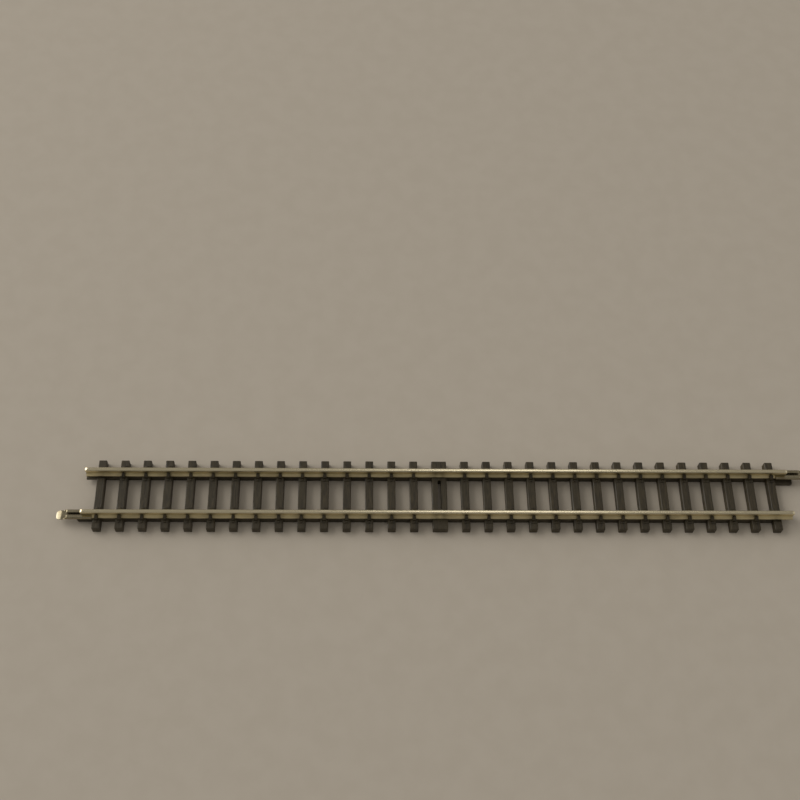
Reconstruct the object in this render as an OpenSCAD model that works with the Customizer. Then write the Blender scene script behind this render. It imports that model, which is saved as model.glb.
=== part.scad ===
// Straight section of narrow-scale model railway track.
// Two nickel-silver rails are held by one moulded strip of sleepers. A folded metal joiner
// grips one rail at each end, so that sections plug into each other either way round.
// Frame: +X along the rails, +Y across them to the far rail, +Z up. The origin is on the
// ground, midway between the rails and midway along the section. All sizes in millimetres.

/* [Track] */
// Clear distance between the inner faces of the two rail heads
gauge = 6.5; // [6.3:0.1:6.8]
// Length of each rail, from one section joint to the next
rail_length = 110; // [90:1:220]

/* [Rails] */
// Height of a rail from the underside of its foot to its running surface
rail_h = 1.5; // [1.3:0.1:1.8]
// Width of the rail head
head_w = 0.6; // [0.5:0.05:0.7]
// Height of the rail head above the web
head_h = 0.45; // [0.35:0.05:0.55]
// Radius of the two upper corners of the rail head
head_r = 0.14; // [0.08:0.02:0.2]
// Thickness of the web between head and foot
web_t = 0.34; // [0.28:0.02:0.4]
// Width of the rail foot
foot_w = 1.2; // [1.1:0.05:1.3]
// Thickness of the rail foot at its edge
foot_t = 0.22; // [0.18:0.02:0.26]

/* [Sleepers] */
// Number of single sleepers on each side of the middle pair
singles = 15; // [12:1:18]
// Length of a sleeper across the track
sleeper_l = 11.6; // [11:0.1:12.5]
// Width of a sleeper along the track
sleeper_w = 1.25; // [1:0.05:1.5]
// Height of a sleeper
sleeper_h = 1.3; // [1.2:0.05:1.5]
// Bevel along the top edges of a sleeper
sleeper_bevel = 0.1; // [0.05:0.01:0.15]
// Distance from a rail end to the middle of the first sleeper
end_overhang = 2.3; // [2.1:0.1:2.8]
// Distance from the middle of the track to each sleeper of the middle pair
pair_offset = 0.55; // [0.5:0.01:0.6]
// Width of the slot between the two sleepers of the middle pair
pair_slot_w = 0.55; // [0.4:0.05:0.7]

/* [Strip details] */
// Width of the rib that runs under each rail, down to the ground
rib_w = 1.2; // [0.9:0.05:1.3]
// Width of a rail clip along the rail
clip_w = 0.65; // [0.5:0.05:0.8]
// Height of a rail clip above the sleeper
clip_h = 0.8; // [0.7:0.05:0.85]
// Thickness of a rail clip beside the rail foot
clip_t = 0.34; // [0.25:0.01:0.4]
// How far the tongue under a joiner reaches past the rail end, on its inner side
tongue_reach = 1.3; // [0.8:0.05:1.3]
// Height of that tongue above the ground
tongue_h = 0.55; // [0.4:0.05:0.55]

/* [Joiners] */
// Thickness of the joiner's sheet metal
sheet_t = 0.14; // [0.1:0.01:0.16]
// Length of the folded channel of a joiner
channel_l = 4.3; // [3.5:0.1:4.5]
// How far the joiner's floor reaches past its folded lips
lead_in = 1.2; // [1:0.1:1.4]
// Length of the end of that floor that is bent down to guide the next rail in
tip_l = 0.9; // [0.7:0.05:1]
// Angle of that bend
tip_bend = 12; // [0:1:15]
// Length of the channel on its own rail when the joiner is home
grip_l = 1.6; // [1:0.1:1.6]
// Gap between the joiner and the rail foot inside it
joiner_gap = 0.02; // [0.01:0.005:0.03]
// Width of the slot between the joiner's two lips
lip_slot_w = 0.44; // [0.42:0.01:0.5]

/* [Hidden] */

half_length = rail_length / 2;
rail_y = (gauge + head_w) / 2;
pitch = (half_length - end_overhang - pair_offset) / singles;

// Rail: how far the foot's top and the head's underside slope between web and edge
foot_rise = 0.08;

// Joiner: inner half width, outer half width, and its levels above the ground
inner_half = foot_w / 2 + joiner_gap;
outer_half = inner_half + sheet_t;
floor_top = sleeper_h - joiner_gap;
floor_bottom = floor_top - sheet_t;
lip_bottom = sleeper_h + foot_t + foot_rise;
lip_top = lip_bottom + sheet_t;
tip_r = 0.5;

// Recess under the end of a bare rail, which the next section's joiner slides into
recess_w = 1.9;
recess_h = sheet_t + 3 * joiner_gap;
recess_l = channel_l - grip_l + lead_in + 0.2;

// Rib between the last two sleepers at a bare rail end: it clears the next joiner's bent tip
low_rib_h = sleeper_h - recess_h - tip_l * sin(tip_bend);

// Tongue under a joiner: how far its sides are from the rail's axis, where its end starts to
// slant back, and its reach on the outer side
tongue_in = 1.2;
tongue_out = 0.6;
tongue_knee = 0.35;
tongue_outer_reach = tongue_reach - 0.6;

// Shelf at the inner side of a bare rail end: the next section's tongue slides in under it
shelf_in = 0.85;
tongue_clearance = 0.05;
shelf_h = sleeper_h - recess_h - tongue_h - tongue_clearance;

// Clip: an upright beside the foot, with a nose over the foot that leaves the web free.
// clip_foot is how deep the upright is rooted in the sleeper.
clip_foot = 0.4;
clip_shoulder = clip_h * 0.55;
clip_nose_y = web_t / 2 + 0.12;
clip_nose_bottom = sleeper_h + foot_t + foot_rise;
clip_top_w = 0.22;

strip_colour = [0.16, 0.13, 0.10];
rail_colour = [0.72, 0.66, 0.50];
joiner_colour = [0.76, 0.72, 0.62];

// Overlap that keeps joined solids from only touching
eps = 0.1;
arc_step = 15;

// Draws a flat outline given in Y and Z, and extrudes it along X.
module along_x(length, centred = true) {
    rotate([90, 0, 90])
        linear_extrude(height = length, center = centred)
            children();
}

// One sleeper, lying along Y, with bevelled top edges.
module sleeper() {
    half = sleeper_w / 2;
    top_half = half - sleeper_bevel;
    rotate([90, 0, 0])
        linear_extrude(height = sleeper_l, center = true)
            polygon([
                [-half, 0],
                [half, 0],
                [half, sleeper_h - sleeper_bevel],
                [top_half, sleeper_h],
                [-top_half, sleeper_h],
                [-half, sleeper_h - sleeper_bevel]
            ]);
}

// The two close sleepers in the middle, fused outside the rails and open between them.
module middle_pair() {
    slot_l = gauge - foot_w - clip_t;
    difference() {
        union() {
            for (side = [-1, 1])
                translate([side * pair_offset, 0, 0])
                    sleeper();
            translate([-pair_offset, -sleeper_l / 2, 0])
                cube([2 * pair_offset, sleeper_l, sleeper_h]);
        }
        translate([-pair_slot_w / 2, -slot_l / 2, -eps])
            cube([pair_slot_w, slot_l, sleeper_h + 2 * eps]);
    }
}

// Outline of a clip on the +Y side of a rail that stands at Y 0.
module clip_outline() {
    foot_y = foot_w / 2;
    polygon([
        [foot_y, sleeper_h - clip_foot],
        [foot_y + clip_t, sleeper_h - clip_foot],
        [foot_y + clip_t, sleeper_h + clip_shoulder],
        [clip_nose_y + clip_top_w, sleeper_h + clip_h],
        [clip_nose_y, sleeper_h + clip_h],
        [clip_nose_y, clip_nose_bottom],
        [foot_y, sleeper_h + foot_t]
    ]);
}

// The clips that hold one rail on one sleeper, inside and outside.
module clip_pair() {
    for (flip = [0, 1])
        mirror([0, flip, 0])
            along_x(clip_w)
                clip_outline();
}

// The rib under the far rail: full height up to the joiner's end, lowered at the bare end.
module rib() {
    bare_stop = half_length - recess_l;
    sleeper_stop = half_length - end_overhang;
    translate([-bare_stop, -rib_w / 2, 0])
        cube([bare_stop + sleeper_stop, rib_w, sleeper_h]);
    translate([-sleeper_stop, -rib_w / 2, 0])
        cube([sleeper_stop - bare_stop + eps, rib_w, low_rib_h]);
}

// The low tongue under the joiner, from the end sleeper to past the rail end.
module joiner_tongue() {
    linear_extrude(height = tongue_h)
        polygon([
            [half_length - end_overhang, -tongue_in],
            [half_length + tongue_reach, -tongue_in],
            [half_length + tongue_reach, -tongue_knee],
            [half_length + tongue_outer_reach, tongue_out],
            [half_length - end_overhang, tongue_out]
        ]);
}

// The shelf at the bare rail end.
module bare_end_shelf() {
    translate([-half_length, -shelf_in, tongue_h + tongue_clearance])
        cube([end_overhang, shelf_in, shelf_h]);
}

// The pocket over the end sleeper, at the bare end, that takes the next section's joiner.
module joiner_recess() {
    translate([-half_length - eps, -recess_w / 2, sleeper_h - recess_h])
        cube([recess_l + eps, recess_w, recess_h + eps]);
}

// Everything that the strip has under and beside the far rail. Its joiner is at the +X end.
module rail_seat() {
    rib();
    joiner_tongue();
    bare_end_shelf();
    for (side = [-1, 1], i = [1 : singles])
        if (side == 1 || i < singles)
            translate([side * (pair_offset + i * pitch), 0, 0])
                clip_pair();
}

// Places what belongs to the far rail, and the same turned end for end for the near rail.
module at_both_rails() {
    for (turn = [0, 180])
        rotate([0, 0, turn])
            translate([0, rail_y, 0])
                children();
}

module sleeper_strip() {
    color(strip_colour)
        union() {
            difference() {
                union() {
                    for (side = [-1, 1], i = [1 : singles])
                        translate([side * (pair_offset + i * pitch), 0, 0])
                            sleeper();
                    middle_pair();
                }
                at_both_rails()
                    joiner_recess();
            }
            at_both_rails()
                rail_seat();
        }
}

// Section through a rail: foot, web and round-cornered head, standing on Z 0.
module rail_outline() {
    corner_y = head_w / 2 - head_r;
    corner_z = rail_h - head_r;
    web_y = web_t / 2;
    right_side = [
        [foot_w / 2, 0],
        [foot_w / 2, foot_t],
        [web_y, foot_t + foot_rise],
        [web_y, rail_h - head_h],
        [head_w / 2, rail_h - head_h + foot_rise],
        for (a = [0 : arc_step : 90]) [corner_y + head_r * cos(a), corner_z + head_r * sin(a)]
    ];
    last = len(right_side) - 1;
    left_side = [for (i = [0 : last]) [-right_side[last - i][0], right_side[last - i][1]]];
    polygon(concat(right_side, left_side));
}

module rail(rail_side) {
    color(rail_colour)
        translate([0, rail_side * rail_y, sleeper_h])
            along_x(rail_length)
                rail_outline();
}

module rail_near() {
    rail(-1);
}

module rail_far() {
    rail(1);
}

// Section through a joiner's channel: floor, two walls and two lips over the rail foot.
module joiner_outline() {
    slot_half = lip_slot_w / 2;
    polygon([
        [-outer_half, floor_bottom],
        [outer_half, floor_bottom],
        [outer_half, lip_top],
        [slot_half, lip_top],
        [slot_half, lip_bottom],
        [inner_half, lip_bottom],
        [inner_half, floor_top],
        [-inner_half, floor_top],
        [-inner_half, lip_bottom],
        [-slot_half, lip_bottom],
        [-slot_half, lip_top],
        [-outer_half, lip_top]
    ]);
}

// The bent end of the joiner's floor in plan, from the bend at X 0 to its rounded tip.
module tip_outline() {
    corner_x = tip_l - tip_r;
    corner_y = outer_half - tip_r;
    polygon([
        [0, -outer_half],
        for (a = [-90 : arc_step : 0]) [corner_x + tip_r * cos(a), -corner_y + tip_r * sin(a)],
        for (a = [0 : arc_step : 90]) [corner_x + tip_r * cos(a), corner_y + tip_r * sin(a)],
        [0, outer_half]
    ]);
}

// A joiner that points along +X from the rail end at X 0.
module joiner() {
    flat_l = channel_l + lead_in - tip_l;
    translate([-grip_l, 0, 0])
        union() {
            along_x(channel_l, false)
                joiner_outline();
            translate([0, -outer_half, floor_bottom])
                cube([flat_l, 2 * outer_half, sheet_t]);
            translate([flat_l, 0, floor_top])
                rotate([0, tip_bend, 0])
                    translate([0, 0, -sheet_t])
                        linear_extrude(height = sheet_t)
                            tip_outline();
        }
}

module joiner_left() {
    color(joiner_colour)
        translate([-half_length, -rail_y, 0])
            rotate([0, 0, 180])
                joiner();
}

module joiner_right() {
    color(joiner_colour)
        translate([half_length, rail_y, 0])
            joiner();
}

sleeper_strip();
rail_near();
rail_far();
joiner_left();
joiner_right();
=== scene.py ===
"""Straight model railway track section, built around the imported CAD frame.

Meshes are made in millimetres and scaled to metres when they become objects. X runs along
the rails, Y across them towards the far rail, and Z up from the floor.
"""

import math

import bmesh
import bpy
from mathutils import Matrix, Quaternion, Vector, noise


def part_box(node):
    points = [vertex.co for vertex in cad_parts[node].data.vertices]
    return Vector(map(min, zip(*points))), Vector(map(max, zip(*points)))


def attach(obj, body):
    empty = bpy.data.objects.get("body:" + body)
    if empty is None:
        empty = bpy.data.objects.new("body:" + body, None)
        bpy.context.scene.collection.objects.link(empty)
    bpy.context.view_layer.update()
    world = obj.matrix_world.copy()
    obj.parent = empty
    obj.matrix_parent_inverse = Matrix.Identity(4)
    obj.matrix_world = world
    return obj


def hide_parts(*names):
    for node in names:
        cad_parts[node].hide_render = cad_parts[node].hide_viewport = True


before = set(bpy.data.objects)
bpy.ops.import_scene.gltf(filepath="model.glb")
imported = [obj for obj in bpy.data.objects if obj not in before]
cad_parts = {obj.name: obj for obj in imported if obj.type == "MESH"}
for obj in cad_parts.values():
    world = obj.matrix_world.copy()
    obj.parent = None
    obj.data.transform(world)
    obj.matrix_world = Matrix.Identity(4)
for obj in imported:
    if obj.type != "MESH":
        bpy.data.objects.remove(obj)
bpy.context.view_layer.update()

MM = 0.001


def cad_box_mm(node):
    """A CAD node's lowest and highest corners, in millimetres."""
    low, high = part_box(node)
    return low / MM, high / MM


# ---------------------------------------------------------------- sizes, in millimetres
RAIL_LOW, RAIL_HIGH = cad_box_mm("rail_far")
STRIP_LOW, STRIP_HIGH = cad_box_mm("sleeper_strip")
JOINER_LOW, JOINER_HIGH = cad_box_mm("joiner_right")

RAIL_END = RAIL_HIGH.x
RAIL_Y = (RAIL_LOW.y + RAIL_HIGH.y) / 2
FOOT_HALF = (RAIL_HIGH.y - RAIL_LOW.y) / 2
SLEEPER_TOP = RAIL_LOW.z
RAIL_TOP = RAIL_HIGH.z
SLEEPER_HALF_L = STRIP_HIGH.y
CLIP_TOP = STRIP_HIGH.z
TONGUE_REACH = STRIP_HIGH.x - RAIL_END

SINGLES = 15
SLEEPER_W = 1.25
SLEEPER_BEVEL = 0.1
END_OVERHANG = 2.3
PAIR_OFFSET = 0.55
PITCH = (RAIL_END - END_OVERHANG - PAIR_OFFSET) / SINGLES

FOOT_T = 0.22
WEB_HALF = 0.17
HEAD_HALF = 0.3
HEAD_H = 0.45

RIB_W = 1.2
CLIP_W = 0.65
RECESS_W = 1.9
RECESS_H = 0.2
RECESS_L = 4.1
TONGUE_H = 0.55
TONGUE_IN = 1.2
TONGUE_OUT = 0.6
SHELF_IN = 0.85

SHEET_T = 0.14
CHANNEL_REACH = 2.7
LIP_SLOT_HALF = 0.22
GRIP_L = RAIL_END - JOINER_LOW.x
TIP_L = 0.9
TIP_BEND = math.radians(12)
FLOOR_MIDDLE = SLEEPER_TOP - 0.02 - SHEET_T / 2
LOW_RIB_H = SLEEPER_TOP - RECESS_H - TIP_L * math.sin(TIP_BEND)


# ---------------------------------------------------------------- outlines and mesh helpers
def rounded(corners, steps=4):
    """A closed outline with its corners rounded. Each corner is (u, v, radius)."""
    outline = []
    count = len(corners)
    for i, (u, v, radius) in enumerate(corners):
        here = Vector((u, v))
        if radius <= 0:
            outline.append(here)
            continue
        before = (Vector(corners[i - 1][:2]) - here).normalized()
        after = (Vector(corners[(i + 1) % count][:2]) - here).normalized()
        half_angle = before.angle(after) / 2
        centre = here + (before + after).normalized() * radius / math.sin(half_angle)
        start = here + before * radius / math.tan(half_angle) - centre
        end = here + after * radius / math.tan(half_angle) - centre
        sweep = start.angle_signed(end)
        for k in range(steps + 1):
            turn = Matrix.Rotation(-sweep * k / steps, 2)
            outline.append(centre + turn @ start)
    return outline


def mirrored(right_side):
    """A closed outline from its right half, listed upwards, and the mirror image of that half."""
    return right_side + [(-u, v, r) for u, v, r in reversed(right_side)]


def add_rings(bm, rings, cap=True):
    """Joins equal closed rings of points into a tube, with flat ends when cap is true."""
    made = [[bm.verts.new(point) for point in ring] for ring in rings]
    count = len(made[0])
    for lower, upper in zip(made, made[1:]):
        for i in range(count):
            j = (i + 1) % count
            bm.faces.new((lower[i], lower[j], upper[j], upper[i]))
    ends = []
    if cap:
        ends.append(bm.faces.new(list(reversed(made[0]))))
        ends.append(bm.faces.new(made[-1]))
    return made, ends


def add_bar(bm, outline, start, end, place, bevel=0.0, stations=1):
    """A straight bar. place(u, v, w) turns an outline point and a distance along it into a point."""
    rings = []
    for k in range(stations + 1):
        along = start + (end - start) * k / stations
        rings.append([place(point.x, point.y, along) for point in outline])
    _, ends = add_rings(bm, rings)
    if bevel:
        rim = list({edge for face in ends for edge in face.edges})
        bmesh.ops.bevel(
            bm, geom=rim, offset=bevel, segments=2, profile=0.6, affect="EDGES"
        )


def along_x(y, z=0.0):
    """A place function for a bar along X whose outline stands at that Y and Z."""
    return lambda u, v, w: Vector((w, y + u, z + v))


def upright(x, y):
    """A place function for a bar along Z whose outline is a plan at that X and Y."""
    return lambda u, v, w: Vector((x + u, y + v, w))


def rectangle(half_u, low_v, high_v, radius):
    return rounded(
        [
            (half_u, low_v, radius),
            (half_u, high_v, radius),
            (-half_u, high_v, radius),
            (-half_u, low_v, radius),
        ],
        steps=3,
    )


def circle(radius, count):
    return [
        Vector((radius * math.cos(math.tau * i / count), radius * math.sin(math.tau * i / count)))
        for i in range(count)
    ]


def smooth_step(value):
    value = min(1.0, max(0.0, value))
    return value * value * (3 - 2 * value)


def mesh_object(name, bm):
    """Turns a bmesh in millimetres into an object, still in millimetres."""
    bmesh.ops.recalc_face_normals(bm, faces=bm.faces)
    mesh = bpy.data.meshes.new(name)
    bm.to_mesh(mesh)
    bm.free()
    made = bpy.data.objects.new(name, mesh)
    bpy.context.scene.collection.objects.link(made)
    return made


def filled(name, fill):
    """An object made by a function that fills an empty bmesh."""
    bm = bmesh.new()
    fill(bm)
    return mesh_object(name, bm)


def combine(target, tool, operation):
    """Applies a boolean of tool to target, and removes tool."""
    modifier = target.modifiers.new(operation, "BOOLEAN")
    modifier.operation = operation
    modifier.solver = "MANIFOLD"
    modifier.object = tool
    depsgraph = bpy.context.evaluated_depsgraph_get()
    result = bpy.data.meshes.new_from_object(target.evaluated_get(depsgraph))
    target.modifiers.clear()
    old = target.data
    target.data = result
    bpy.data.meshes.remove(old)
    bpy.data.objects.remove(tool)


def finish_piece(piece, body, node, material, smooth_angle=35):
    """Scales a piece to metres, shades it, gives it its material and body, and hides the CAD node
    that it stands for.
    """
    mesh = piece.data
    mesh.transform(Matrix.Scale(MM, 4))
    mesh.shade_smooth()
    mesh.set_sharp_from_angle(angle=math.radians(smooth_angle))
    mesh.materials.clear()
    mesh.materials.append(material)
    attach(piece, body)
    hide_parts(node)


def paint(piece, name, value_at):
    """Stores value_at(point in millimetres) on each vertex as a float attribute."""
    layer = piece.data.attributes.new(name, "FLOAT", "POINT")
    for vertex, item in zip(piece.data.vertices, layer.data):
        item.value = value_at(vertex.co)


# ---------------------------------------------------------------- the sleeper strip
def sleeper_positions():
    """X of every sleeper from left to right, the middle pair included."""
    right_half = [PAIR_OFFSET + i * PITCH for i in range(SINGLES + 1)]
    return [-x for x in reversed(right_half)] + right_half


def single_positions():
    """X of every sleeper but the middle pair."""
    return [x for x in sleeper_positions() if abs(x) > PITCH / 2]


def grain_seed(number):
    """Where in the noise the grain of one sleeper is taken from."""
    return 3.7 * number


def wood_height(x, y, seed):
    """Height of the wood grain at a point of a sleeper, from about -1 in a crack to 1."""
    streak = noise.noise(Vector((x * 5.5, y * 0.5, seed)))
    fibre = noise.noise(Vector((x * 13.0, y * 1.4, seed + 31.0)))
    ridge = abs(noise.noise(Vector((x * 3.0, y * 0.3, seed + 57.0))))
    crack = max(0.0, 1.0 - ridge / 0.07)
    return 0.6 * streak + 0.35 * fibre - 0.8 * crack


def nearest_sleeper(x, positions):
    return min(range(len(positions)), key=lambda i: abs(positions[i] - x))


def add_sleeper(bm, x, seed):
    """One sleeper with a grained top, slightly uneven sides and softened ends."""
    half = SLEEPER_W / 2
    top_columns = 15
    side_rows = 5
    grain_depth = 0.028
    side_depth = 0.012
    end_round = 0.06
    bevel = SLEEPER_BEVEL

    outline = [(-half, 0.0), (half, 0.0)]
    for k in range(1, side_rows + 1):
        outline.append((half, (SLEEPER_TOP - bevel) * k / side_rows))
    for k in range(top_columns + 1):
        u = (half - bevel) * (1 - 2 * k / top_columns)
        outline.append((u, SLEEPER_TOP))
    for k in range(side_rows, 0, -1):
        outline.append((-half, (SLEEPER_TOP - bevel) * k / side_rows))

    inner = SLEEPER_HALF_L - end_round
    stations = [-SLEEPER_HALF_L, -SLEEPER_HALF_L + end_round * 0.3]
    body_steps = 46
    stations += [-inner + 2 * inner * k / body_steps for k in range(body_steps + 1)]
    stations += [SLEEPER_HALF_L - end_round * 0.3, SLEEPER_HALF_L]

    rings = []
    for y in stations:
        from_end = SLEEPER_HALF_L - abs(y)
        if from_end < end_round:
            tuck = end_round - math.sqrt(max(0.0, end_round**2 - (end_round - from_end) ** 2))
        else:
            tuck = 0.0
        ring = []
        for u, z in outline:
            is_top = z > SLEEPER_TOP - bevel / 2
            carve = 0.0
            shift = 0.0
            if is_top:
                level = wood_height(u, y, seed)
                carve = grain_depth * (1 - level) / 2
            elif z > 0:
                level = wood_height(z, y, seed + 90.0)
                shift = side_depth * (1 - level) / 2
            side = (u > 0) - (u < 0)
            ring.append(
                Vector((x + u - side * (shift + tuck), y, max(0.0, z - carve - tuck * (z > 0))))
            )
        rings.append(ring)
    add_rings(bm, rings)


def add_ribs(bm):
    """The rib under each rail at full height, from the joiner's end to the bare end's recess;
    add_end_details carries it on lower at the bare end.
    """
    full = rectangle(RIB_W / 2, 0.0, SLEEPER_TOP - 0.004, 0.04)
    bare_stop = RAIL_END - RECESS_L
    joiner_stop = RAIL_END - END_OVERHANG
    for side in (-1, 1):
        ends = sorted((side * joiner_stop, -side * bare_stop))
        add_bar(bm, full, ends[0], ends[1], along_x(side * RAIL_Y), stations=60)


def add_end_details(bm):
    """The lowered rib and the shelf at each bare rail end, and the tongue under each joiner."""
    overlap = 0.1
    knee = 0.35
    outer_reach = TONGUE_REACH - 0.6
    sleeper_stop = RAIL_END - END_OVERHANG
    low_rib = rectangle(RIB_W / 2, 0.0, LOW_RIB_H, 0.04)
    shelf = rounded(
        [
            (0.05, TONGUE_H + 0.05, 0),
            (0.05, SLEEPER_TOP - RECESS_H, 0),
            (-SHELF_IN, SLEEPER_TOP - RECESS_H, 0.06),
            (-SHELF_IN, TONGUE_H + 0.05, 0.06),
        ],
        steps=3,
    )
    tongue = rounded(
        [
            (sleeper_stop, -TONGUE_IN, 0),
            (RAIL_END + TONGUE_REACH, -TONGUE_IN, 0.2),
            (RAIL_END + TONGUE_REACH, -knee, 0.2),
            (RAIL_END + outer_reach, TONGUE_OUT, 0.2),
            (sleeper_stop, TONGUE_OUT, 0),
        ]
    )
    for side in (-1, 1):
        y = side * RAIL_Y
        rib_ends = sorted((-side * sleeper_stop, -side * (RAIL_END - RECESS_L - overlap)))
        add_bar(bm, low_rib, rib_ends[0], rib_ends[1], along_x(y))
        turned = lambda u, v, w, y=y, side=side: Vector((side * w, y + side * u, v))
        add_bar(bm, shelf, -RAIL_END, -sleeper_stop, turned, bevel=0.04)
        plan = lambda u, v, w, y=y, side=side: Vector((side * u, y + side * v, w))
        add_bar(bm, tongue, 0.0, TONGUE_H, plan, bevel=0.06)


def clip_sites():
    """(x, y) of each rail seat that has clips. The bare rail ends have none."""
    sites = []
    for side in (-1, 1):
        bare_end = -side * (PAIR_OFFSET + SINGLES * PITCH)
        for x in single_positions():
            if abs(x - bare_end) > PITCH / 2:
                sites.append((x, side * RAIL_Y))
    return sites


def clip_place(x, y, side):
    """A place function for a clip at that X and Y, narrower along the rail towards its nose."""
    taper = 0.38

    def place(u, v, w):
        rise = max(0.0, v - SLEEPER_TOP) / (CLIP_TOP - SLEEPER_TOP)
        return Vector((x + w * (1 - taper * rise), y + side * u, v))

    return place


def add_clips(bm):
    """A hooked clip on each side of the rail, over its foot."""
    root = SLEEPER_TOP - 0.3
    back = FOOT_HALF + 0.34
    nose = WEB_HALF + 0.12
    nose_low = SLEEPER_TOP + FOOT_T + 0.09
    shoulder = SLEEPER_TOP + 0.44
    outline = rounded(
        [
            (FOOT_HALF, root, 0),
            (back, root, 0),
            (back, shoulder, 0.12),
            (nose + 0.2, CLIP_TOP, 0.08),
            (nose, CLIP_TOP, 0.05),
            (nose, nose_low, 0.03),
            (FOOT_HALF, SLEEPER_TOP + FOOT_T + 0.01, 0),
        ],
        steps=3,
    )
    for x, y in clip_sites():
        for side in (-1, 1):
            place = clip_place(x, y, side)
            add_bar(bm, outline, -CLIP_W / 2, CLIP_W / 2, place, bevel=0.05)


def add_chairs(bm):
    """A thin moulded chair plate under each clip."""
    plate_h = 0.07
    plate_out = FOOT_HALF + 0.72
    for x, y in clip_sites():
        for side in (-1, 1):
            middle = y + side * (FOOT_HALF + plate_out) / 2
            half = (plate_out - FOOT_HALF) / 2
            plate = rectangle(0.44, -half, half, 0.06)
            add_bar(
                bm, plate, SLEEPER_TOP - 0.2, SLEEPER_TOP + plate_h, upright(x, middle), bevel=0.025
            )


def add_bolts(bm):
    """A hexagonal bolt head on each chair plate."""
    bolt_y = FOOT_HALF + 0.53
    head = circle(0.15, 6)
    for x, y in clip_sites():
        for side in (-1, 1):
            add_bar(
                bm,
                head,
                SLEEPER_TOP - 0.1,
                SLEEPER_TOP + 0.2,
                upright(x, y + side * bolt_y),
                bevel=0.035,
            )


def add_cuts(bm):
    """The pair's slot, the joiner recesses at the bare ends, and the ejector marks underneath."""
    slot = rectangle(0.275, -2.48, 2.48, 0.12)
    add_bar(bm, slot, -0.5, SLEEPER_TOP + 0.5, upright(0, 0))
    for side in (-1, 1):
        start, end = RAIL_END - RECESS_L, RAIL_END + 0.5
        span = sorted((-side * start, -side * end))
        recess = rectangle(RECESS_W / 2, SLEEPER_TOP - RECESS_H, SLEEPER_TOP + 0.5, 0.05)
        add_bar(bm, recess, span[0], span[1], along_x(side * RAIL_Y))
    marks = single_positions()[1::4]
    for x in marks:
        for y in (-1.6, 1.6):
            add_bar(bm, circle(0.4, 28), -0.3, 0.05, upright(x, y))


def build_strip():
    """The whole moulding as one closed mesh."""
    positions = sleeper_positions()
    partner = SINGLES + 1

    def add_sleepers(bm):
        for i, x in enumerate(positions):
            if i != partner:
                add_sleeper(bm, x, grain_seed(i))

    def add_pair_partner(bm):
        add_sleeper(bm, positions[partner], grain_seed(partner))

    strip = filled("sleeper_strip_moulding", add_sleepers)
    combine(strip, filled("pair", add_pair_partner), "UNION")
    combine(strip, filled("ribs", add_ribs), "UNION")
    combine(strip, filled("cuts", add_cuts), "DIFFERENCE")
    combine(strip, filled("ends", add_end_details), "UNION")
    combine(strip, filled("chairs", add_chairs), "UNION")
    combine(strip, filled("clips", add_clips), "UNION")
    combine(strip, filled("bolts", add_bolts), "UNION")

    def grain_at(point):
        i = nearest_sleeper(point.x, positions)
        return wood_height(point.x - positions[i], point.y, grain_seed(i))

    def tone_at(point):
        i = nearest_sleeper(point.x, positions)
        return 0.5 + 0.5 * noise.noise(Vector((i * 1.37, point.y * 0.12, 8.1)))

    paint(strip, "grain", grain_at)
    paint(strip, "tone", tone_at)
    return strip


# ---------------------------------------------------------------- the rails
def rail_outline():
    """Foot, web and head, standing on V 0, with a slightly crowned running surface."""
    height = RAIL_TOP - SLEEPER_TOP
    head_low = height - HEAD_H
    right_side = [
        (FOOT_HALF, 0, 0.03),
        (FOOT_HALF, FOOT_T, 0.05),
        (WEB_HALF, FOOT_T + 0.08, 0.12),
        (WEB_HALF, head_low, 0.1),
        (HEAD_HALF, head_low + 0.09, 0.04),
        (HEAD_HALF - 0.004, height - 0.008, 0.11),
        (0.08, height, 0.3),
    ]
    return rounded(mirrored(right_side), steps=5)


def build_rail(name, y):
    """One drawn rail with sawn ends and a very slight waviness along it."""
    outline = rail_outline()
    height = RAIL_TOP - SLEEPER_TOP
    steps = 200
    saw_bevel = 0.035
    wave = 0.004
    ease_l = 0.35
    ease_drop = 0.07
    inner = RAIL_END - ease_l
    stations = [-inner + 2 * inner * k / steps for k in range(steps + 1)]
    eased = [inner + ease_l * k / 5 for k in range(1, 6)]
    bm = bmesh.new()
    rings = []
    for x in [-x for x in reversed(eased)] + stations + eased:
        drift = wave * noise.noise(Vector((x * 0.22, y, 3.0)))
        lift = -wave * (0.5 + 0.5 * noise.noise(Vector((x * 0.31, y, 11.0))))
        past_ease = max(0.0, abs(x) - (RAIL_END - ease_l)) / ease_l
        ease = ease_drop * past_ease**1.6
        ring = []
        for point in outline:
            share = point.y / height
            in_head = smooth_step((point.y - height + HEAD_H) / HEAD_H)
            up = SLEEPER_TOP + point.y + lift * share - ease * in_head
            ring.append(Vector((x, y + point.x + drift * share, up)))
        rings.append(ring)
    _, ends = add_rings(bm, rings)
    rim = list({edge for face in ends for edge in face.edges})
    bmesh.ops.bevel(bm, geom=rim, offset=saw_bevel, segments=3, profile=0.5, affect="EDGES")
    rail = mesh_object(name, bm)

    def height_share(point):
        return (point.z - SLEEPER_TOP) / (RAIL_TOP - SLEEPER_TOP)

    def dirt_and_shade_at(point):
        """Dirt gathers low on the rail and beside the clips; the darkening there is also painted
        shade.
        """
        spacing = (abs(point.x) - PAIR_OFFSET) / PITCH
        near_clip = 0.5 + 0.5 * math.cos(math.tau * spacing)
        low = 1 - min(1.0, max(0.0, height_share(point)))
        patch = 0.5 + 0.5 * noise.noise(Vector((point.x * 0.5, y, point.z)))
        return low * (0.28 + 0.37 * near_clip**6 + 0.2 * patch)

    paint(rail, "height", height_share)
    # Darker low on the rail and beside the clips: dirt and painted shade
    paint(rail, "dirt_and_shade", dirt_and_shade_at)
    return rail


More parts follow.
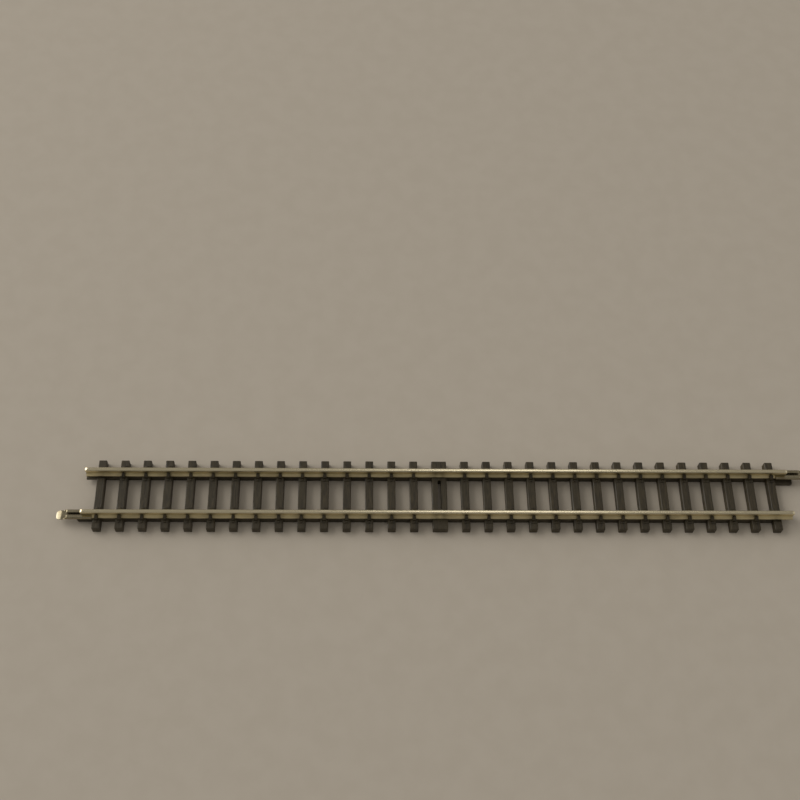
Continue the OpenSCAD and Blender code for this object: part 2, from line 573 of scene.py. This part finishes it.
# ---------------------------------------------------------------- the joiners
def joiner_outline():
    """Section through the folded sheet: floor, two walls and two lips, with rounded bends."""
    outer = (JOINER_HIGH.y - JOINER_LOW.y) / 2
    inner = outer - SHEET_T
    low = FLOOR_MIDDLE - SHEET_T / 2
    high = JOINER_HIGH.z
    bend = 0.2
    inner_bend = bend - SHEET_T
    right_side = [
        (outer, low, bend),
        (outer, high, bend),
        (LIP_SLOT_HALF, high, 0.04),
        (LIP_SLOT_HALF, high - SHEET_T, 0.03),
        (inner, high - SHEET_T, inner_bend),
        (inner, low + SHEET_T, inner_bend),
    ]
    return rounded(mirrored(right_side), steps=6)


def add_channel(bm):
    """The folded channel, pointing along +X from the rail end at X 0."""
    add_bar(
        bm, joiner_outline(), -GRIP_L, CHANNEL_REACH, along_x(0.0), bevel=0.015, stations=30
    )


def add_mouth_cut(bm):
    """What is cut off the outer end of the walls and lips, on a slant down to the floor."""
    slant = 0.5
    floor_top = FLOOR_MIDDLE + SHEET_T / 2
    above = JOINER_HIGH.z + 0.2
    past = CHANNEL_REACH + 0.3
    outline = rounded(
        [
            (CHANNEL_REACH - slant - 0.16, above, 0),
            (CHANNEL_REACH - 0.06, floor_top + 0.05, 0.2),
            (past, floor_top + 0.05, 0),
            (past, above, 0),
        ],
        steps=8,
    )
    add_bar(bm, outline, -1.0, 1.0, lambda u, v, w: Vector((u, w, v)))


def bent_down(s, y, z):
    """A point of the joiner's floor at a length s out from the rail end, with the tip bent down."""
    start = JOINER_HIGH.x - RAIL_END - TIP_L
    curve = 0.25
    past = max(0.0, s - start)
    angle = TIP_BEND * min(1.0, past / curve)
    radius = curve / TIP_BEND
    straight = max(0.0, past - curve)
    x = min(s, start) + radius * math.sin(angle) + straight * math.cos(angle)
    drop = radius * (1 - math.cos(angle)) + straight * math.sin(angle)
    above = z - FLOOR_MIDDLE
    return Vector((x + above * math.sin(angle), y, FLOOR_MIDDLE - drop + above * math.cos(angle)))


def add_floor_tip(bm):
    """The end of the floor, from inside the channel to its rounded, bent-down tip."""
    tip = JOINER_HIGH.x - RAIL_END
    half_width = (JOINER_HIGH.y - JOINER_LOW.y) / 2
    corner = 0.5
    overlap = 0.4
    inset = 0.001
    half_t = SHEET_T / 2 - inset
    root = CHANNEL_REACH - overlap
    round_start = tip - corner
    steps = 16
    stations = [(root + (round_start - root) * k / steps, half_width) for k in range(steps)]
    for k in range(steps + 1):
        a = math.pi / 2 * k / steps
        stations.append(
            (round_start + corner * math.sin(a), half_width - corner + corner * math.cos(a))
        )
    rings = []
    for s, width in stations:
        tuck = 0.2 * (1 - smooth_step((s - root) / (overlap + 0.25)))
        section = rectangle(
            width - inset - tuck, FLOOR_MIDDLE - half_t, FLOOR_MIDDLE + half_t, 0.04
        )
        rings.append([bent_down(s, point.x, point.y) for point in section])
    add_rings(bm, rings)


def build_joiner(name, side):
    """A folded joiner on the rail at side * RAIL_Y, pointing out of the end at side * RAIL_END."""
    joiner = filled(name, add_channel)
    combine(joiner, filled("mouth", add_mouth_cut), "DIFFERENCE")
    combine(joiner, filled("floor_tip", add_floor_tip), "UNION")
    bend_start = JOINER_HIGH.x - RAIL_END - TIP_L
    half_width = (JOINER_HIGH.y - JOINER_LOW.y) / 2

    def polish_and_highlight_at(point):
        """The tip is polished bright in its middle by the rails that it has guided in, and painted
        brighter there as a painted highlight.
        """
        past_bend = smooth_step((point.x - bend_start) / 0.4)
        from_side = smooth_step((half_width - abs(point.y)) / 0.45)
        return past_bend * from_side

    # The bright tip: wear from the rails and a painted highlight
    paint(joiner, "wear_and_painted_light", polish_and_highlight_at)
    turn = Matrix.Identity(4) if side > 0 else Matrix.Rotation(math.pi, 4, "Z")
    shift = Matrix.Translation((side * RAIL_END, side * RAIL_Y, 0))
    joiner.data.transform(shift @ turn)
    return joiner


# ---------------------------------------------------------------- materials
class Nodes:
    """Short calls for building one material's node tree."""

    def __init__(self, name):
        self.material = bpy.data.materials.new(name)
        self.material.use_nodes = True
        self.tree = self.material.node_tree
        self.shader = self.tree.nodes["Principled BSDF"]

    def add(self, kind, inputs=None, **settings):
        node = self.tree.nodes.new(kind)
        for key, value in settings.items():
            setattr(node, key, value)
        for key, value in (inputs or {}).items():
            self.feed(node.inputs[key], value)
        return node

    def feed(self, socket, value):
        if isinstance(value, bpy.types.NodeSocket):
            self.tree.links.new(value, socket)
        else:
            socket.default_value = value

    def attribute(self, name):
        return self.add("ShaderNodeAttribute", attribute_name=name).outputs["Fac"]

    def stretched(self, scale):
        """Object coordinates scaled by axis, so that a texture can run along one of them."""
        where = self.add("ShaderNodeTexCoord").outputs["Object"]
        mapping = self.add("ShaderNodeMapping", {"Vector": where, "Scale": scale})
        return mapping.outputs["Vector"]

    def noise(self, scale, size=1.0, detail=4.0, roughness=0.5):
        made = self.add(
            "ShaderNodeTexNoise",
            {
                "Vector": self.stretched(scale),
                "Scale": size,
                "Detail": detail,
                "Roughness": roughness,
            },
        )
        return made.outputs["Fac"]

    def band(self, value, low, high, out_low=0.0, out_high=1.0):
        made = self.add(
            "ShaderNodeMapRange",
            {
                "Value": value,
                "From Min": low,
                "From Max": high,
                "To Min": out_low,
                "To Max": out_high,
            },
            interpolation_type="SMOOTHSTEP",
        )
        return made.outputs["Result"]

    def math(self, operation, a, b):
        made = self.add("ShaderNodeMath", operation=operation)
        self.feed(made.inputs[0], a)
        self.feed(made.inputs[1], b)
        return made.outputs[0]

    def blend(self, factor, a, b, mode="MIX"):
        made = self.add("ShaderNodeMix", data_type="RGBA", blend_type=mode)
        self.feed(made.inputs["Factor"], factor)
        self.feed(made.inputs["A"], a)
        self.feed(made.inputs["B"], b)
        return made.outputs["Result"]

    def bump(self, height, strength, distance):
        made = self.add(
            "ShaderNodeBump", {"Height": height, "Strength": strength, "Distance": distance}
        )
        self.feed(self.shader.inputs["Normal"], made.outputs["Normal"])

    def set(self, **values):
        for key, value in values.items():
            self.feed(self.shader.inputs[key.replace("_", " ")], value)


def sleeper_plastic():
    """Dark brown moulded plastic: grained, a little dusty on its raised fibres."""
    m = Nodes("sleeper_plastic")
    grain = m.band(m.attribute("grain"), -0.6, 0.6)
    tone = m.attribute("tone")
    fibre = m.noise((9000, 900, 9000), detail=3)
    cloud = m.noise((260, 260, 260), detail=3)
    dark = (0.025, 0.0185, 0.0085, 1)
    brown = (0.065, 0.050, 0.0245, 1)
    dusty = (0.115, 0.095, 0.058, 1)
    base = m.blend(grain, dark, brown)
    base = m.blend(m.band(tone, 0.2, 0.8, 0.0, 0.35), base, (0.049, 0.041, 0.0225, 1))
    dust = m.math("MULTIPLY", m.band(fibre, 0.5, 0.75), m.band(cloud, 0.35, 0.7, 0.1, 0.5))
    base = m.blend(dust, base, dusty)
    rough_cloud = m.band(cloud, 0.3, 0.7, 0.42, 0.56)
    rough_fibre = m.band(fibre, 0.3, 0.7, -0.04, 0.05)
    roughness = m.math("ADD", rough_cloud, rough_fibre)
    m.set(Base_Color=base, Roughness=roughness, IOR=1.5)
    m.bump(fibre, 0.35, 0.00002)
    return m.material


def rail_metal():
    """Drawn nickel silver: polished by wheels on top, dull and yellow-brown below. The sides'
    tarnish is painted brighter as a painted reflection of bright surroundings, and low down and
    beside the clips the rail is darkened by dirt and painted shade.
    """
    m = Nodes("rail_metal")
    height = m.attribute("height")
    dirt_and_shade = m.attribute("dirt_and_shade")
    drawn = m.noise((120, 24000, 24000), detail=4, roughness=0.6)
    scratch = m.noise((60, 52000, 52000), detail=2)
    patch = m.noise((420, 900, 900), detail=5)
    polished = (0.78, 0.70, 0.50, 1)
    # Yellow-brown tarnish for the sides, made brighter than the polished top as a painted reflection
    tarnish_with_painted_reflection = (0.88, 0.76, 0.46, 1)
    # Dark colour for dirt and painted shade, low on the rail and beside the clips
    dark_dirt_and_shade = (0.075, 0.055, 0.032, 1)
    # Mask of the polished top; below it the sides take the tarnish with its painted reflection
    wear_and_painted_light = m.band(m.math("ADD", height, m.band(patch, 0.3, 0.7, -0.05, 0.05)), 0.8, 0.98)
    colour = m.blend(wear_and_painted_light, tarnish_with_painted_reflection, polished)
    colour = m.blend(m.band(drawn, 0.35, 0.75, 0.0, 0.18), colour, (0.34, 0.27, 0.16, 1))
    colour = m.blend(m.math("MULTIPLY", dirt_and_shade, m.band(patch, 0.3, 0.65, 0.35, 1.0)), colour, dark_dirt_and_shade)
    rough_top = m.band(scratch, 0.3, 0.7, 0.17, 0.25)
    rough_side = m.band(patch, 0.3, 0.7, 0.34, 0.5)
    roughness = m.add("ShaderNodeMix", {"Factor": wear_and_painted_light}, data_type="FLOAT")
    m.feed(roughness.inputs["A"], rough_side)
    m.feed(roughness.inputs["B"], rough_top)
    metallic = m.band(wear_and_painted_light, 0.0, 1.0, 0.75, 1.0)
    m.set(Base_Color=colour, Metallic=metallic, Roughness=roughness.outputs["Result"])
    m.bump(m.math("ADD", drawn, m.math("MULTIPLY", patch, 0.6)), 0.15, 0.000004)
    return m.material


def joiner_metal():
    """Folded nickel-silver sheet: satin, with fine rolling marks, a few stains, and a tip painted
    brighter, part wear and part painted highlight.
    """
    m = Nodes("joiner_metal")
    rolled = m.noise((400, 30000, 30000), detail=4, roughness=0.6)
    stain = m.noise((900, 900, 900), detail=5, roughness=0.6)
    clean = (0.36, 0.32, 0.22, 1)
    dull = (0.24, 0.20, 0.125, 1)
    # Bright tip colour: wear and a painted highlight
    rubbed_tip_and_highlight = (0.58, 0.53, 0.42, 1)
    colour = m.blend(m.band(stain, 0.42, 0.7, 0.0, 0.75), clean, dull)
    colour = m.blend(m.math("MULTIPLY", m.attribute("wear_and_painted_light"), 0.9), colour, rubbed_tip_and_highlight)
    rough_rolled = m.band(rolled, 0.3, 0.7, 0.22, 0.29)
    rough_stain = m.band(stain, 0.4, 0.7, 0.0, 0.06)
    roughness = m.math("ADD", rough_rolled, rough_stain)
    m.set(Base_Color=colour, Metallic=1.0, Roughness=roughness)
    m.bump(rolled, 0.2, 0.000004)
    return m.material


def floor_paint():
    """Plain pale matt floor with a barely visible tooth."""
    m = Nodes("pale_floor")
    tooth = m.noise((300, 300, 300), detail=6)
    colour = m.blend(m.band(tooth, 0.3, 0.7), (0.60, 0.545, 0.465, 1), (0.62, 0.565, 0.485, 1))
    m.set(Base_Color=colour, Roughness=0.8, Specular_IOR_Level=0.3)
    return m.material


# ---------------------------------------------------------------- assembly
strip = build_strip()
finish_piece(strip, "track", "sleeper_strip", sleeper_plastic(), 40)

metal = rail_metal()
for node, side in (("rail_near", -1), ("rail_far", 1)):
    rail = build_rail(node + "_drawn", side * RAIL_Y)
    finish_piece(rail, "track", node, metal, 50)

sheet = joiner_metal()
for node, body, side in (("joiner_left", "left_joiner", -1), ("joiner_right", "right_joiner", 1)):
    joiner = build_joiner(node + "_folded", side)
    finish_piece(joiner, body, node, sheet, 50)


# ---------------------------------------------------------------- floor, light and camera
def build_floor():
    half = 4.0
    mesh = bpy.data.meshes.new("floor")
    corners = [(-half, -half, 0), (half, -half, 0), (half, half, 0), (-half, half, 0)]
    mesh.from_pydata(corners, [], [(0, 1, 2, 3)])
    mesh.materials.append(floor_paint())
    floor = bpy.data.objects.new("floor", mesh)
    floor.location.z = -0.00002
    bpy.context.scene.collection.objects.link(floor)


def add_area(name, direction, distance, size, power, colour):
    """A square light in a direction from the object, facing it."""
    light = bpy.data.lights.new(name, "AREA")
    light.size = size
    light.energy = power
    light.color = colour
    lamp = bpy.data.objects.new(name, light)
    away = Vector(direction).normalized()
    lamp.location = away * distance
    lamp.rotation_mode = "QUATERNION"
    lamp.rotation_quaternion = away.to_track_quat("Z", "Y")
    bpy.context.scene.collection.objects.link(lamp)


def build_light():
    world = bpy.data.worlds.new("studio")
    world.use_nodes = True
    background = world.node_tree.nodes["Background"]
    background.inputs["Color"].default_value = (1.0, 0.95, 0.87, 1)
    background.inputs["Strength"].default_value = 0.236
    bpy.context.scene.world = world
    # A dim overhead softbox, which the rail heads mirror towards the camera along their length
    add_area("overhead_softbox", (-0.05, 0.45, 0.9), 1.6, 2.2, 0.45, (1.0, 0.95, 0.87))
    # The ceiling lamp that they mirror right of the middle
    add_area("ceiling_lamp", (0.125, 0.425, 0.895), 1.5, 0.27, 0.365, (1.0, 0.97, 0.92))
    # A soft box high on the left, a little behind the track
    add_area("left_softbox", (-0.85, 0.4, 0.52), 1.5, 1.3, 14.0, (1.0, 0.96, 0.9))
    # A weaker one high on the right
    add_area("right_softbox", (0.9, 0.1, 0.5), 1.5, 1.4, 1.8, (1.0, 0.95, 0.88))


def build_camera():
    position = Vector((-12.83, -81.98, 175.5)) * MM
    target = Vector((-5.98, 16.90, 1.4)) * MM
    roll = math.radians(3.75)
    data = bpy.data.cameras.new("camera")
    data.sensor_width = 36
    data.lens = 55.45
    data.clip_start = 0.01
    data.clip_end = 20
    camera = bpy.data.objects.new("camera", data)
    camera.location = position
    camera.rotation_mode = "QUATERNION"
    looking = (target - position).to_track_quat("-Z", "Y")
    camera.rotation_quaternion = looking @ Quaternion((0, 0, 1), roll)
    bpy.context.scene.collection.objects.link(camera)
    bpy.context.scene.camera = camera


build_floor()
build_light()
build_camera()
bpy.context.scene.view_settings.view_transform = "Standard"
